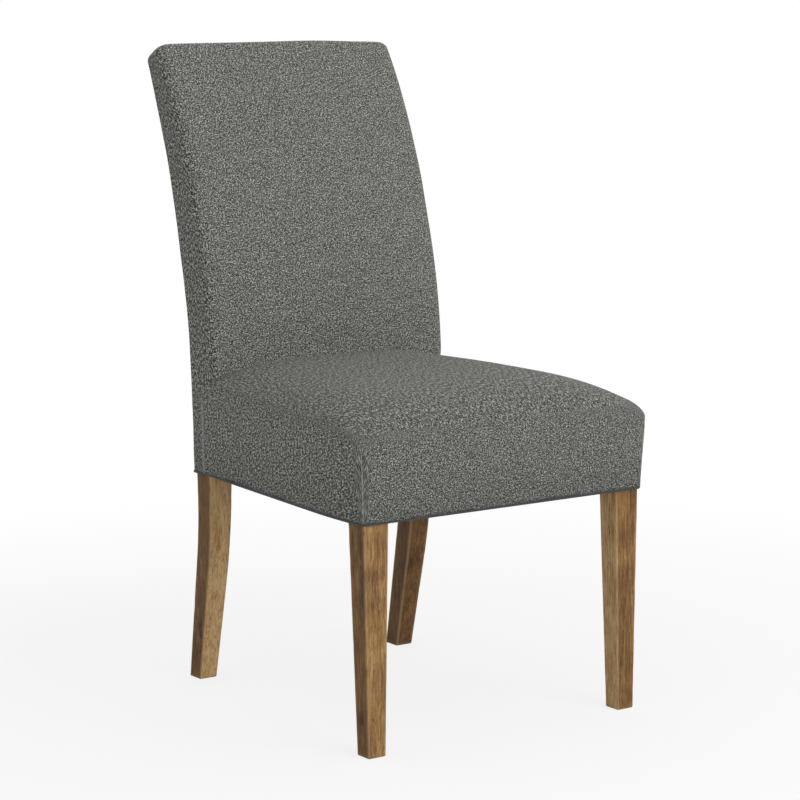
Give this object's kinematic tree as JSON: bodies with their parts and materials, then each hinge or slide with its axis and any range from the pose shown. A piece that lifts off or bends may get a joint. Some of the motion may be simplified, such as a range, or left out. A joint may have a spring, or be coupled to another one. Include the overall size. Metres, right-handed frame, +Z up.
{
  "type": "dining chair",
  "caption": "Armless upholstered dining chair with a high raked back, a crowned box seat and tapered wooden legs, the rear ones swept back.",
  "frame": {"origin": "on the floor under the middle of the chair's overall width and depth", "axes": "+Z up, -Y the way a sitter faces, +X to the sitter's left as seen facing -Y"},
  "size_m": [0.5088, 0.6491, 0.9793],
  "materials": {
    "stained_oak": "distressed brown stain, matt",
    "frame_wood": "unfinished sawn hardwood",
    "zinc_steel": "zinc plated",
    "webbing": "woven strap",
    "decking_cloth": "plain woven cloth",
    "black_cambric": "thin non-woven cloth",
    "grey_tweed": "heather grey tweed, fine salt and pepper weave",
    "welt_cord": "dark grey covered cord",
    "foam": "soft foam with a bonded white wadding wrap"
  },
  "bodies": {
    "root": {"back_padding": "foam", "back_web_1": "webbing", "back_web_2": "webbing", "back_web_3": "webbing", "bottom_welt": "welt_cord", "corner_block_front_left": "frame_wood", "corner_block_front_right": "frame_wood", "corner_block_rear_left": "frame_wood", "corner_block_rear_right": "frame_wood", "corner_block_screws": "zinc_steel", "crest_rail": "frame_wood", "dust_cover": "black_cambric", "front_leg_left": "stained_oak", "front_leg_right": "stained_oak", "front_seat_rail": "frame_wood", "inside_back_cover": "grey_tweed", "lower_back_rail": "frame_wood", "middle_back_rail": "frame_wood", "outside_back_cover": "grey_tweed", "rear_post_left": "stained_oak", "rear_post_right": "stained_oak", "rear_seat_rail": "frame_wood", "seat_cover": "grey_tweed", "seat_decking": "decking_cloth", "seat_padding": "foam", "seat_web_cross_1": "webbing", "seat_web_cross_2": "webbing", "seat_web_cross_3": "webbing", "seat_web_long_1": "webbing", "seat_web_long_2": "webbing", "seat_web_long_3": "webbing", "seat_web_long_4": "webbing", "side_seat_rail_left": "frame_wood", "side_seat_rail_right": "frame_wood"}
  },
  "joints": []
}
